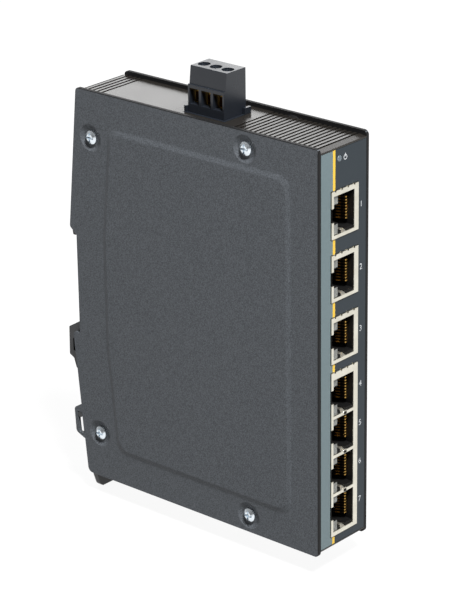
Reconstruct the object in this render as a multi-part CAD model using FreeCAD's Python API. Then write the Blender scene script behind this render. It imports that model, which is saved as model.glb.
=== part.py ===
import FreeCAD, Part
import math
import os

# Slim seven-port network switch for a 35 mm top-hat rail.
# Frame: the origin is the middle of the rail's seat. +X is to the right when the ports face you,
# -Y points at the viewer (the ports), +Y is the rail, +Z is up. Every length is in millimetres.

V = FreeCAD.Vector

# ---- driving dimensions: housing ----
WIDTH = 25.4              # across the two side covers, at their flat rims
HEIGHT = 142.0            # side cover, bottom edge to top edge
DEPTH = 106.7             # front face to the rail's seat
SHEET = 1.2               # side cover sheet
EDGE_RADIUS = 1.6         # side cover corners
REAR_SHOULDER = 3.15      # how far the covers stand behind the seat, at the shoulders
SHOULDER_HEIGHT = 19.0    # height of both shoulders above and below the rail's middle
REAR_SLOPE = 0.098        # how much the rear edge leans forwards, per millimetre of height
FIELD_RISE = 0.5          # pressed field, outwards
FIELD_FLANK = 1.7         # width of the pressed field's sloping flank
FIELD_FRONT = 11.5        # front face to the field
FIELD_END = 11.6          # top edge to the field
FIELD_REAR = 15.6         # rear edge to the field
FIELD_RADIUS = 4.5
FLANK_BLEND = 2.2

RAIL_HEIGHT = 35.0
RAIL_FLANGE = 1.0
RAIL_PLAY = 0.7           # room above the rail in its slot

# ---- cover screws and their dished seats ----
SCREW_REAR_IN = 8.15      # rail's seat to the rear screws
SCREW_REAR_END = 16.6     # top or bottom edge to the rear screws
SCREW_FRONT_IN = 30.3     # front face to the front screws
SCREW_FRONT_END = 6.1     # top or bottom edge to the front screws
DISH_DEPTH = 0.9
DISH_OUTER_R = 4.8
DISH_INNER_R = 3.45
SCREW_R = 1.5
SCREW_HOLE_R = 1.7
SCREW_LENGTH = 8.0
HEAD_R = 2.35
HEAD_HEIGHT = 1.4
DRIVE_WIDTH = 0.7
DRIVE_DEPTH = 0.9

# ---- inner frame ----
FRAME_SETBACK = 1.4       # frame top below the covers' top edge
FRAME_WALL = 1.8
FRAME_PROUD = 0.3         # frame rear wall behind the covers' rear edge
NOSE_LONG = 3.0           # smooth band at the front of the top and bottom
NOSE_DROP = 0.3           # how far that band slopes down to the front
SEAT_HALF = 14.5
LIP_THICK = 1.4
LIP_REACH = 1.2           # how far the fixed lip hangs over the rail's flange
SLOT_RELIEF = 0.2
BOSS_R = 3.5
PILOT_R = 1.3
PILOT_DEPTH = 9.0
WEB = 1.8
GROOVE_PITCH = 2.03
GROOVE_WIDTH = 1.0
GROOVE_DEPTH = 1.1
GROOVES_FRONT = 18
GROOVES_REAR = 5
GROOVE_DRAFT = 0.06
FIRST_GROOVE = 3.45       # front face to the first groove
REAR_GROOVE = 96.6        # front face to the first groove of the rear group

# ---- front plate ----
PLATE_THICK = 1.6
PLATE_GAP = 0.15
FOIL_THICK = 0.15
STRIP_WIDTH = 7.05
PORT_GAP = 0.25
PLATE_LIP = 0.9           # lips behind the plate that reach under the frame's walls
PLATE_LIP_LONG = 4.0
PLATE_LIP_SIDE = 2.0      # plate's side edge to the lips
LED_X = -2.25
LED_END = 5.6             # top edge to the power light
LED_R = 1.1
LED_PROUD = 0.15
PIPE_LONG = 4.0           # lens behind the plate
PIPE_ARM_Y = 2.5          # plate to the light pipe's arm
PIPE_ARM = 2.0
PIPE_DROP = 0.4           # arm's top below the lens's top

# ---- ports ----
PORT_LEFT = -6.4          # shield, latch side
PORT_DEEP = 13.6          # shield, across the device
PORT_WIDE = 16.0          # shield, up the device
PORT_LONG = 20.0
PORT_PROUD = 0.3
PORT_SHARE = 0.18336      # share of the front's free height between two single ports
GANG_SHARE = 0.10652      # share between the single ports and the block of four
GANG_PITCH = 13.97
GANG_RIM = 0.45
GANG_BOTTOM = 5.195       # bottom edge to the block of four
GANG_COUNT = 4
SINGLES = 3
SHIELD = 0.3
SHIELD_LATCH_RIM = 1.05
SHIELD_BOARD_RIM = 2.15
SHIELD_TOP_RIM = 1.7
SHIELD_SIDE_RIM = 1.15
GANG_DIVIDER = 1.04
GANG_MOUTH_UP = 5.9       # middle of a port in the block to its mouth's upper edge
FINGER_PITCH = 3.2        # notches between the spring fingers on the shield's top rim
FINGER_NOTCH = 0.7
FINGER_DEPTH = 0.45
FINGER_LONG = 0.7
TAB_WIDE = 2.2            # contact tab bent into the mouth at its lower edge
TAB_LONG = 5.0
TAB_RISE = 0.7
TAB_ROOM = 0.1
LATCH_NOTCH = 4.8
LATCH_CHANNEL = 6.2
LATCH_DEEP = 2.9
CAVITY_WIDE = 11.9
CAVITY_DEEP = 7.7
CAVITY_LONG = 13.6
INSERT_GAP = 0.1
LENS_DEEP = 2.3
LENS_LONG = 6.0
LENS_GAP = 0.1
CONTACT_PITCH = 1.016
CONTACT_COUNT = 8
CONTACT_WIDE = 0.45
CONTACT_THICK = 0.3
CONTACT_FRONT = 1.7       # front face to the contacts' bends

# ---- board and what it carries ----
BOARD_THICK = 1.6
BOARD_GAP = 0.15          # port shields to the board
BOARD_REAR_IN = 13.5      # rail's seat to the board's rear edge
BOARD_FRONT_GAP = 1.0     # front plate to the board
BOARD_MARGIN = 1.4        # frame wall to the board's edge
LUG_R = 3.0
LUG_LONG = 3.0
LUG_END = 4.6             # frame wall to the lugs' screws
LUG_FRONT_IN = 39.5       # front face to the front lugs
LUG_REAR_IN = 28.0        # rail's seat to the rear lugs
BOARD_SCREW_R = 1.1
BOARD_HOLE_R = 1.3
BOARD_HEAD_R = 2.0
BOARD_HEAD = 1.2
BOARD_DRIVE = 0.5
BOARD_DRIVE_DEPTH = 0.7
CHIP_IN = 54.7            # front face to the chip's middle
CHIP_Z = -14.0
CHIP_LEADS = 10
LEAD_WIDE = 0.6
LEAD_LONG = 1.5
LEAD_HIGH = 0.4
CHIP_SIDE = 24.0
CHIP_THICK = 1.5
SINK_SIDE = 19.0
SINK_FIN = 1.0
SINK_FINS = 6
SINK_HEIGHT = 6.0
SINK_BASE = 1.6
MAGNETIC_LONG = 12.5
MAGNETIC_WIDE = 8.0
MAGNETIC_HIGH = 5.6
MAGNETIC_GAP = 3.0        # sockets to the magnetics
SUPPLY_END = 27.0         # top edge to the supply's capacitors and inductor
CAPACITOR_R = 4.0
CAPACITOR_HIGH = 11.5
CAPACITOR_PITCH = 9.5
CAPACITOR_IN = 26.5       # rail's seat to the rear capacitor
CAPACITOR_EDGE = 0.5
INDUCTOR_SIDE = 9.0
INDUCTOR_HIGH = 4.5
INDUCTOR_IN = 48.0        # rail's seat to the inductor
INDUCTOR_RADIUS = 2.0
CRYSTAL_LONG = 9.0
CRYSTAL_WIDE = 3.6
CRYSTAL_HIGH = 3.6
CRYSTAL_BACK = 22.0       # chip's middle to the crystal
STATUS_LONG = 3.2
STATUS_WIDE = 1.8
STATUS_HIGH = 1.2
STATUS_DROP = 1.5         # light on the board below the lens

# ---- power plug and its header ----
POLE_PITCH = 5.08
POLES = 3
PLUG_X = -0.4             # middle of the poles, across the device
PLUG_IN = 52.75           # front face to the middle pole
PLUG_SIDE = 0.13          # plug wall outside the outermost poles' pitch
PLUG_NEAR = 5.2           # poles to the plug's wire side
PLUG_FAR = 5.6            # poles to the plug's back
PLUG_RISE = 15.4          # plug's top above the frame's top
LEDGE_RISE = 9.4
PLUG_TOP_NEAR = 3.7
PLUG_LEDGE_STEP = 0.8
PLUG_SINK = 7.4           # plug's foot below the frame's top
ENTRY_WIDE = 4.0
ENTRY_RISE = 2.8          # wire entries' lower edge above the frame's top
ENTRY_HIGH = 5.4
CHAMBER_WIDE = 4.3
CHAMBER_LOW = 0.6         # chamber below the wire entries
CLAMP_TRAVEL = 3.0
CAGE_WALL = 0.7
CAGE_SIDE = 0.5
CAGE_GAP = 0.1
CAGE_LONG = 5.2
BAR_THICK = 0.8
BAR_WIDE = 2.4
BAR_DROP = 0.8            # entries' upper edge to the bar's top
CLAMP_SCREW_R = 1.45
CLAMP_SCREW_GAP = 0.05
CLAMP_HEAD_R = 1.85
CLAMP_HEAD = 1.5
CLAMP_SLOT = 0.6
CLAMP_SLOT_DEPTH = 0.8
HEAD_SINK = 0.7           # screw head in the top of the chamber
SCREW_WELL_R = 2.1
HEADER_WALL = 1.0
HEADER_GAP = 0.2
HEADER_FLOOR = 2.0
LATCH_RISE = 2.1          # header end walls above the frame's top
LATCH_NARROW = 3.1        # front end wall, from the board's side
PIN_SIDE = 1.0
PIN_LONG = 6.0
PIN_GAP = 0.1

# ---- rail clip ----
CLIP_THICK = 2.0
CLIP_OFFSET = 0.25        # clip plate in front of the covers' rear edge line
CLIP_HALF = 9.1
CHEEK = 1.3
CHEEK_GAP = 0.15
HOOK_REACH = 6.65
HOOK_HEIGHT = 14.9        # nose top below the rail's middle
HOOK_SLANT = 3.2
HOOK_END = 29.0
FOOT_DROP = 7.6           # foot below the covers' bottom edge
FOOT_TAPER = 1.5
FOOT_RADIUS = 2.4
CLIP_TRAVEL = 4.6
PEG_R = 1.0
PEG_GAP = 0.1
PEG_BACK = 0.55           # pegs behind the clip plate's middle
PEG_Z = -50.0
EAR_REACH = 3.6           # ear outside the rear edge line
EAR_TOP = -47.3
EAR_LONG = 11.0
SLOT_SPARE = 1.0
CHANNEL_DEPTH = 1.0       # clip channel in front of the seat
SPRING_R = 1.7
SPRING_WIRE = 0.45
SPRING_TURNS = 7
SPRING_LONG = 15.0
POCKET_GAP = 0.3
TONGUE_THICK = 2.0
POCKET_TOP = -31.0
POCKET_WALL = 1.2
POCKET_SIDE = 0.6
HOOK_SLIT_TOP = 22.0      # slit in each hook, below the rail's middle
HOOK_SLIT_END = 26.8
PULL_HALF = 3.5           # slot in the foot for a screwdriver
PULL_TOP = 3.0
PULL_END = 5.4
CUT_REACH = 30.0          # past every wall on both sides

# ---- derived places ----
HALF = WIDTH / 2
TOP = HEIGHT / 2
FRONT = -DEPTH
INNER = HALF - SHEET                     # inner face of each cover
FRAME_TOP = TOP - FRAME_SETBACK
FRAME_IN = FRAME_TOP - FRAME_WALL        # inner face of the frame's top wall
PLATE_END = FRAME_TOP - FRAME_WALL / 2   # top and bottom edges of the front plate
RAIL_EDGE = RAIL_HEIGHT / 2
SLOT_ROOF = RAIL_EDGE + RAIL_PLAY
LIP_IN = RAIL_FLANGE + 0.3
BOARD_X = PORT_LEFT + PORT_DEEP + BOARD_GAP
BOARD_BACK = BOARD_X + BOARD_THICK
PORT_HALF = PORT_WIDE / 2
GANG_HALF = GANG_PITCH * (GANG_COUNT - 1) / 2 + PORT_HALF + GANG_RIM
SCREW_REAR_Y = -SCREW_REAR_IN
SCREW_REAR_Z = TOP - SCREW_REAR_END
SCREW_FRONT_Y = FRONT + SCREW_FRONT_IN
SCREW_FRONT_Z = TOP - SCREW_FRONT_END
GANG_MID_Z = -TOP + GANG_BOTTOM + GANG_HALF
FRONT_FREE = HEIGHT - GANG_BOTTOM - 2 * GANG_HALF - SINGLES * PORT_WIDE
PORT_PITCH = PORT_WIDE + FRONT_FREE * PORT_SHARE
PORT_LOWEST = GANG_MID_Z + GANG_HALF + FRONT_FREE * GANG_SHARE + PORT_HALF
LED_Z = TOP - LED_END
CHIP_Y = FRONT + CHIP_IN
SUPPLY_Z = TOP - SUPPLY_END
PORT_ZS = [PORT_LOWEST + PORT_PITCH * i for i in reversed(range(SINGLES))]
GANG_ZS = [GANG_MID_Z + GANG_PITCH * ((GANG_COUNT - 1) / 2 - i) for i in range(GANG_COUNT)]
PORT_FACE = FRONT - PORT_PROUD
PORT_RIGHT = PORT_LEFT + PORT_DEEP
MOUTH_NEAR = PORT_LEFT + SHIELD_LATCH_RIM
MOUTH_FAR = PORT_RIGHT - SHIELD_BOARD_RIM
INSERT_FACE = PORT_FACE + SHIELD + INSERT_GAP
CONTACT_REAR = INSERT_FACE + CAVITY_LONG - 0.6
CAVITY_FAR = MOUTH_FAR - 0.2
CAVITY_NEAR = CAVITY_FAR - CAVITY_DEEP
PLUG_MID_Y = FRONT + PLUG_IN
POLE_YS = [PLUG_MID_Y + POLE_PITCH * (i - (POLES - 1) / 2) for i in range(POLES)]
PLUG_HALF = POLES * POLE_PITCH / 2 + PLUG_SIDE
PLUG_Y0 = PLUG_MID_Y - PLUG_HALF
PLUG_Y1 = PLUG_MID_Y + PLUG_HALF
PLUG_TOP = FRAME_TOP + PLUG_RISE
PLUG_FOOT = FRAME_TOP - PLUG_SINK
ENTRY_LOW = FRAME_TOP + ENTRY_RISE
ENTRY_TOP = ENTRY_LOW + ENTRY_HIGH
CHAMBER_Z = ENTRY_LOW - CHAMBER_LOW
BAR_TOP = ENTRY_TOP - BAR_DROP
CAGE_TOP = BAR_TOP + CAGE_WALL + 0.15
CHAMBER_TOP = CAGE_TOP + CLAMP_TRAVEL + 0.45 + HEAD_SINK
PLUG_LEFT = PLUG_X - PLUG_NEAR
PLUG_RIGHT = PLUG_X + PLUG_FAR
PIN_Z = PLUG_FOOT - 1.6
SOLE_LOW = CHAMBER_Z - 1.95
CAGE_HALF = CAGE_LONG / 2
LUGS = [(FRONT + LUG_FRONT_IN, FRAME_IN - LUG_END), (-LUG_REAR_IN, FRAME_IN - LUG_END),
        (-LUG_REAR_IN, -FRAME_IN + LUG_END), (FRONT + LUG_FRONT_IN, -FRAME_IN + LUG_END)]
CHANNEL_BEHIND = CLIP_OFFSET + 0.35        # clip channel's floor in front of the rear edge line
CHANNEL_TURN = SHOULDER_HEIGHT + (REAR_SHOULDER - CHANNEL_BEHIND + CHANNEL_DEPTH) / REAR_SLOPE
POCKET_IN = -CHANNEL_DEPTH - POCKET_WALL - 2 * SPRING_R
SPRING_Y = POCKET_IN + SPRING_R + POCKET_GAP
TONGUE_LOW = POCKET_TOP - 0.6 - TONGUE_THICK
POCKET_FLOOR = TONGUE_LOW - SPRING_LONG
SCREWS = [(SCREW_REAR_Y, SCREW_REAR_Z), (SCREW_REAR_Y, -SCREW_REAR_Z),
          (SCREW_FRONT_Y, SCREW_FRONT_Z), (SCREW_FRONT_Y, -SCREW_FRONT_Z)]


# ---- drawing helpers ----
def rear_edge(z):
    """Y of the covers' rear edge line at a height, the same above and below the rail."""
    return REAR_SHOULDER - REAR_SLOPE * (abs(z) - SHOULDER_HEIGHT)


def box(x0, x1, y0, y1, z0, z1):
    return Part.makeBox(x1 - x0, y1 - y0, z1 - z0, V(x0, y0, z0))


def rod(start, axis, radius, length):
    return Part.makeCylinder(radius, length, V(*start), V(*axis))


def outline(points, place):
    """Closed wire through (a, b, radius) points, each corner rounded by its radius."""
    count = len(points)
    ends = []
    for i, (a, b, radius) in enumerate(points):
        here = V(a, b, 0)
        before = V(points[i - 1][0], points[i - 1][1], 0) - here
        after = V(points[(i + 1) % count][0], points[(i + 1) % count][1], 0) - here
        if radius <= 0:
            ends.append((here, None, here))
            continue
        before.normalize()
        after.normalize()
        half = before.getAngle(after) / 2
        reach = radius / math.tan(half)
        middle = before + after
        middle.normalize()
        middle = here + middle * (radius / math.sin(half) - radius)
        ends.append((here + before * reach, middle, here + after * reach))
    edges = []
    for i, (first, middle, last) in enumerate(ends):
        if middle is not None:
            edges.append(Part.Arc(place(first), place(middle), place(last)).toShape())
        following = ends[(i + 1) % count][0]
        if last.distanceToPoint(following) > 1e-6:
            edges.append(Part.LineSegment(place(last), place(following)).toShape())
    return Part.Wire(edges)


def side_wire(points, x):
    """Wire in a side view: points are (y, z, radius)."""
    return outline(points, lambda p: V(x, p.x, p.y))


def side_prism(points, x0, x1):
    return Part.Face(side_wire(points, x0)).extrude(V(x1 - x0, 0, 0))


def front_prism(points, y0, y1):
    """Points are (x, z, radius)."""
    return Part.Face(outline(points, lambda p: V(p.x, y0, p.y))).extrude(V(0, y1 - y0, 0))


def plan_prism(points, z0, z1):
    """Points are (x, y, radius)."""
    return Part.Face(outline(points, lambda p: V(p.x, p.y, z0))).extrude(V(0, 0, z1 - z0))


def fuse(shapes):
    return shapes[0].multiFuse(shapes[1:]).removeSplitter()


def mirrored(shape):
    return shape.mirror(V(0, 0, 0), V(1, 0, 0))


def toward(sign, near, far):
    """Ordered span between two heights on the side that the sign says."""
    return sorted([sign * near, sign * far])


def save(name, shape):
    shape.exportStep("parts/" + name + ".step")
    print(name, len(shape.Solids), round(shape.Volume, 1))


# ---- side covers: pressed sheet with a raised field, four dishes and a slotted ear ----
def slide_slope(z, drop):
    """Shift of the rear edge line along Y when something follows it down by a drop."""
    return rear_edge(z - drop) - rear_edge(z)


def peg_place():
    return rear_edge(PEG_Z) + CLIP_THICK / 2 - CLIP_OFFSET + PEG_BACK


def cover_outline():
    ear_bottom = EAR_TOP - EAR_LONG
    notch = RAIL_EDGE + 0.4
    lower = SHOULDER_HEIGHT - 0.4
    return [
        (FRONT, -TOP, EDGE_RADIUS),
        (FRONT, TOP, EDGE_RADIUS),
        (rear_edge(TOP), TOP, EDGE_RADIUS),
        (rear_edge(SHOULDER_HEIGHT + 1.2), SHOULDER_HEIGHT + 1.2, 1.2),
        (RAIL_FLANGE, notch + 0.8, 0.3),
        (0, notch, 0.3),
        (0, -lower, 0.3),
        (rear_edge(-lower), -lower, 1.2),
        (rear_edge(EAR_TOP + 1.6), EAR_TOP + 1.6, 0),
        (rear_edge(EAR_TOP) + EAR_REACH, EAR_TOP - 0.5, 1.6),
        (rear_edge(ear_bottom) + EAR_REACH + 0.5, ear_bottom + 1.4, 1.6),
        (rear_edge(ear_bottom), ear_bottom - 0.3, 0),
        (rear_edge(TOP), -TOP, 2.0),
    ]


def field_outline(inset):
    front = FRONT + FIELD_FRONT + inset
    end = TOP - FIELD_END - inset
    knee = SHOULDER_HEIGHT + 1.0
    back = FIELD_REAR + inset
    corner = FIELD_RADIUS
    return [
        (front, -end, corner),
        (front, end, corner),
        (rear_edge(end) - back, end, corner),
        (rear_edge(knee) - back, knee, 12),
        (rear_edge(knee) - back, -knee, 12),
        (rear_edge(end) - back, -end, corner),
    ]


def pressed(base_x, rise, inset):
    """Flat-topped rise of the field, from a plane at base_x outwards to -X."""
    lower = side_wire(field_outline(inset), base_x)
    upper = side_wire(field_outline(inset + FIELD_FLANK), base_x - rise)
    return Part.makeLoft([lower, upper], True, True)


def soften(shape, planes, radius):
    """Blend the long edges of the field that lie in the given X planes."""
    edges = []
    for edge in shape.Edges:
        bounds = edge.BoundBox
        flat = [x for x in planes if abs(bounds.XMin - x) < 1e-4 and abs(bounds.XMax - x) < 1e-4]
        inside = (bounds.YMin > FRONT + FIELD_FRONT - 0.5 and bounds.ZMax < TOP - FIELD_END + 0.5
                  and bounds.ZMin > -TOP + FIELD_END - 0.5 and bounds.YMax < -FIELD_REAR / 2 - 3.0)
        if flat and inside:
            edges.append(edge)
    return shape.makeFillet(radius, edges)


def left_cover():
    sheet = side_prism(cover_outline(), -INNER, -HALF)
    shell = soften(sheet.fuse(pressed(-HALF, FIELD_RISE, 0)), [-HALF, -HALF - FIELD_RISE], FLANK_BLEND)
    shell = shell.cut(pressed(-INNER + 0.01, FIELD_RISE + 0.01, 0.35))
    rim = SHEET * 0.35
    for y, z in SCREWS:
        bump = Part.makeCone(DISH_OUTER_R + rim, DISH_INNER_R + rim, DISH_DEPTH, V(-INNER, y, z), V(1, 0, 0))
        dish = Part.makeCone(DISH_OUTER_R, DISH_INNER_R, DISH_DEPTH, V(-HALF, y, z), V(1, 0, 0))
        hole = rod((-HALF - 1, y, z), (1, 0, 0), SCREW_HOLE_R, SHEET + DISH_DEPTH + 2)
        shell = shell.fuse(bump).cut(dish).cut(hole)
    return shell.cut(ear_slot()).removeSplitter()


def ear_slot():
    """Sloping slot that guides the clip's peg."""
    half = PEG_R + PEG_GAP
    top = PEG_Z + half
    bottom = PEG_Z - CLIP_TRAVEL - half - SLOT_SPARE
    y_top = peg_place() + slide_slope(PEG_Z, PEG_Z - top)
    y_bottom = peg_place() + slide_slope(PEG_Z, PEG_Z - bottom)
    points = [(y_top - half, top, 0.4), (y_top + half, top, 0.4),
              (y_bottom + half, bottom, 0.4), (y_bottom - half, bottom, 0.4)]
    return side_prism(points, -HALF - 1, -INNER + 1)


def pan_screw(length, radius, head_r, head, drive_w, drive_d):
    """Pan head at the origin, shank towards +X, cross drive in the head's crown."""
    crown = [(0, -head, 0), (head_r * 0.55, -head, 0), (head_r, -head * 0.45, 0),
             (head_r, 0, 0), (radius, 0, 0), (radius, length, 0), (0, length, 0)]
    wire = outline(crown, lambda p: V(p.y, p.x, 0))
    body = Part.Face(wire).revolve(V(0, 0, 0), V(1, 0, 0), 360)
    reach = head_r * 0.66
    cross = [box(-head - 1, -head + drive_d, -drive_w / 2, drive_w / 2, -reach, reach),
             box(-head - 1, -head + drive_d, -reach, reach, -drive_w / 2, drive_w / 2)]
    return body.cut(cross[0].fuse(cross[1]))


def cover_screws():
    seat = INNER - DISH_DEPTH + SHEET
    screw = pan_screw(SCREW_LENGTH, SCREW_R - 0.25, HEAD_R, HEAD_HEIGHT, DRIVE_WIDTH, DRIVE_DEPTH)
    left = []
    for y, z in SCREWS:
        one = screw.copy()
        one.translate(V(-seat, y, z))
        left.append(one)
    return Part.Compound(left + [mirrored(one) for one in left])


# ---- inner frame: an open channel with bosses, ribs and the rail's fixed lip ----
def frame_outer():
    lip_y = rear_edge(SHOULDER_HEIGHT + 1.5) + FRAME_PROUD
    back = -CHANNEL_DEPTH
    low = rear_edge(FRAME_TOP) - CHANNEL_BEHIND
    return [
        (FRONT, -FRAME_TOP + NOSE_DROP, 0),
        (FRONT, FRAME_TOP - NOSE_DROP, 0.3),
        (FRONT + NOSE_LONG, FRAME_TOP, 0),
        (rear_edge(FRAME_TOP) + FRAME_PROUD, FRAME_TOP, 0.25),
        (lip_y, SHOULDER_HEIGHT + 1.5, 0.5),
        (LIP_IN + LIP_THICK, SLOT_ROOF - LIP_REACH, 0.4),
        (LIP_IN, SLOT_ROOF - LIP_REACH, 0.3),
        (LIP_IN, SLOT_ROOF, 0),
        (-SLOT_RELIEF, SLOT_ROOF, 0),
        (-SLOT_RELIEF, SLOT_ROOF - LIP_REACH - 0.2, 0),
        (0, SLOT_ROOF - LIP_REACH - 0.2, 0),
        (0, -SEAT_HALF, 0),
        (back, -SEAT_HALF, 0),
        (back, -CHANNEL_TURN, 0),
        (low, -FRAME_TOP, 0),
        (FRONT + NOSE_LONG, -FRAME_TOP, 0),
    ]


def frame_inner():
    wall = FRAME_WALL
    high = SLOT_ROOF + wall
    shoulder_y = rear_edge(high + 2) + FRAME_PROUD - wall
    return [
        (FRONT - 1, -FRAME_IN, 0),
        (FRONT - 1, FRAME_IN, 0),
        (rear_edge(FRAME_IN) + FRAME_PROUD - wall, FRAME_IN, 1),
        (shoulder_y, high + 2, 0),
        (shoulder_y, high, 0),
        (-SLOT_RELIEF - wall, high, 0),
        (-SLOT_RELIEF - wall, -SEAT_HALF + wall, 0),
        (-CHANNEL_DEPTH - wall, -SEAT_HALF - 1, 0),
        (-CHANNEL_DEPTH - wall, -CHANNEL_TURN, 0),
        (rear_edge(FRAME_IN) - CHANNEL_BEHIND - wall, -FRAME_IN, 1),
    ]


def grooves():
    """Cross grooves in the top and bottom faces: a front group and a short rear group."""
    places = [FIRST_GROOVE + GROOVE_PITCH * i for i in range(GROOVES_FRONT)]
    places += [REAR_GROOVE + GROOVE_PITCH * i for i in range(GROOVES_REAR)]
    cuts = []
    for place in places:
        y = FRONT + place
        half = GROOVE_WIDTH / 2
        points = [(y - half, FRAME_TOP + 0.1, 0), (y + half, FRAME_TOP + 0.1, 0),
                  (y + half - GROOVE_DRAFT, FRAME_TOP - GROOVE_DEPTH, 0),
                  (y - half + GROOVE_DRAFT, FRAME_TOP - GROOVE_DEPTH, 0)]
        cut = side_prism(points, -INNER - 0.1, INNER + 0.1)
        cuts += [cut, cut.mirror(V(0, 0, 0), V(0, 0, 1))]
    return Part.Compound(cuts)


def housing_frame():
    ring = side_prism(frame_outer(), -INNER, INNER).cut(side_prism(frame_inner(), -INNER - 1, INNER + 1))
    boss_end = INNER - DISH_DEPTH
    adds = []
    for y, z in SCREWS:
        adds.append(rod((-boss_end, y, z), (1, 0, 0), BOSS_R, 2 * boss_end))
        if y == SCREW_REAR_Y:
            wall_y = rear_edge(z) - 1.2
            adds.append(box(-boss_end, boss_end, y, wall_y, z - WEB / 2, z + WEB / 2))
        else:
            low, high = toward(math.copysign(1, z), abs(z), FRAME_IN + 0.5)
            adds.append(box(-boss_end, boss_end, y - WEB / 2, y + WEB / 2, low, high))
    for y, z in LUGS:
        adds.append(rod((BOARD_X - LUG_LONG, y, z), (1, 0, 0), LUG_R, LUG_LONG))
        low, high = toward(math.copysign(1, z), abs(z), FRAME_IN + 0.5)
        adds.append(box(BOARD_X - LUG_LONG, BOARD_X, y - LUG_R, y + LUG_R, low, high))
    adds.append(spring_housing())
    frame = fuse([ring] + adds)
    end = PLATE_END + PLATE_GAP
    cuts = [grooves(), spring_pocket(), header_window(),
            box(-HALF, HALF, FRONT - 1, FRONT + PLATE_THICK, -end, end)]
    for y, z in SCREWS:
        for end in (-1, 1):
            spare = SHEET * 0.35 + 0.1
            wide, small = DISH_OUTER_R + spare, DISH_INNER_R + spare
            cone = Part.makeCone(wide, small, DISH_DEPTH, V(-INNER, y, z), V(1, 0, 0))
            cuts.append(cone if end < 0 else mirrored(cone))
            cuts.append(rod((end * (boss_end + 0.1), y, z), (-end, 0, 0), PILOT_R, PILOT_DEPTH))
    for y, z in LUGS:
        cuts.append(rod((BOARD_X - LUG_LONG - 1, y, z), (1, 0, 0), BOARD_SCREW_R + 0.05, LUG_LONG + 2))
    for cut in cuts:
        frame = frame.cut(cut)
    return frame


# ---- front plate and its printed foil ----
def port_window(middle_z, half, gap, y0, y1):
    reach = half + gap
    return box(PORT_LEFT - gap, PORT_RIGHT + gap, y0, y1, middle_z - reach, middle_z + reach)


def all_windows(gap, y0, y1):
    shapes = [port_window(z, PORT_HALF, gap, y0, y1) for z in PORT_ZS]
    shapes.append(port_window(GANG_MID_Z, GANG_HALF, gap, y0, y1))
    return Part.Compound(shapes)


def front_plate():
    side = INNER - PLATE_GAP
    end = PLATE_END
    back = FRONT + PLATE_THICK
    plate = box(-side, side, FRONT, back, -end, end)
    inside = FRAME_IN - PLATE_GAP
    for sign in (-1, 1):
        low, high = toward(sign, inside - PLATE_LIP, inside)
        plate = plate.fuse(box(-side + PLATE_LIP_SIDE, BOARD_X - 0.5, back, back + PLATE_LIP_LONG, low, high))
    plate = plate.cut(all_windows(PORT_GAP, FRONT - 1, back + PLATE_LIP_LONG + 1))
    plate = plate.cut(rod((LED_X, FRONT - 1, LED_Z), (0, 1, 0), LED_R + 0.05, PLATE_THICK + 2))
    foil_bed = box(-side - 1, -side + STRIP_WIDTH, FRONT - 1, FRONT + FOIL_THICK, -end - 1, end + 1)
    return plate.cut(foil_bed)


def front_foil():
    side = INNER - PLATE_GAP
    end = PLATE_END
    foil = box(-side, -side + STRIP_WIDTH, FRONT, FRONT + FOIL_THICK, -end, end)
    return foil.cut(all_windows(PORT_GAP, FRONT - 1, FRONT + 1))


# ---- ports: a folded shield round a black insert with spring contacts and light windows ----
def mouth_span(z):
    """Heights of a shield's mouth, which is taller than the plug below the port's middle."""
    if z in GANG_ZS:
        high = z + GANG_MOUTH_UP
        return high + GANG_DIVIDER - GANG_PITCH, high
    return z - PORT_HALF + SHIELD_SIDE_RIM, z + PORT_HALF - SHIELD_TOP_RIM


def shield_shell(z0, z1, cells):
    back = PORT_FACE + PORT_LONG
    shell = box(PORT_LEFT, PORT_RIGHT, PORT_FACE, back, z0, z1)
    shell = shell.cut(box(PORT_LEFT + SHIELD, PORT_RIGHT + 1, PORT_FACE + SHIELD, back - SHIELD,
                          z0 + SHIELD, z1 - SHIELD))
    for z in cells:
        low, high = mouth_span(z)
        mouth = box(MOUTH_NEAR, MOUTH_FAR, PORT_FACE - 1, PORT_FACE + SHIELD + 0.5, low, high)
        notch = box(PORT_LEFT - 1, MOUTH_NEAR + 1, PORT_FACE - 1, PORT_FACE + SHIELD + 1.2,
                    z - LATCH_NOTCH / 2, z + LATCH_NOTCH / 2)
        shell = shell.cut(mouth).cut(notch).fuse(contact_tab(low))
    count = int((PORT_DEEP - FINGER_NOTCH) / FINGER_PITCH)
    first = (PORT_LEFT + PORT_RIGHT - FINGER_PITCH * (count - 1)) / 2
    for i in range(count):
        x = first + FINGER_PITCH * i
        shell = shell.cut(box(x - FINGER_NOTCH / 2, x + FINGER_NOTCH / 2, PORT_FACE - 1,
                              PORT_FACE + FINGER_LONG, z1 - FINGER_DEPTH, z1 + 1))
    return shell.removeSplitter()


def tab_span():
    middle = (MOUTH_NEAR + MOUTH_FAR) / 2
    return middle - TAB_WIDE / 2, middle + TAB_WIDE / 2


def contact_tab(low):
    """Tongue of the shield bent inwards at the mouth's lower edge, sprung up to meet the plug."""
    x0, x1 = tab_span()
    crest = PORT_FACE + TAB_LONG / 3
    points = [
        (PORT_FACE, low - SHIELD, 0), (PORT_FACE, low, 0.15), (crest, low + TAB_RISE, 0.8),
        (PORT_FACE + TAB_LONG, low + SHIELD, 0), (PORT_FACE + TAB_LONG, low, 0),
        (crest, low + TAB_RISE - SHIELD, 0.5), (PORT_FACE + SHIELD, low - SHIELD, 0),
    ]
    return side_prism(points, x0, x1)


def insert_block(z0, z1, cells):
    inset = SHIELD + INSERT_GAP
    block = box(PORT_LEFT + inset, PORT_RIGHT - 0.05, INSERT_FACE, PORT_FACE + PORT_LONG - inset,
                z0 + inset, z1 - inset)
    for z in cells:
        block = block.cut(insert_cavity(z))
    return block


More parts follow.
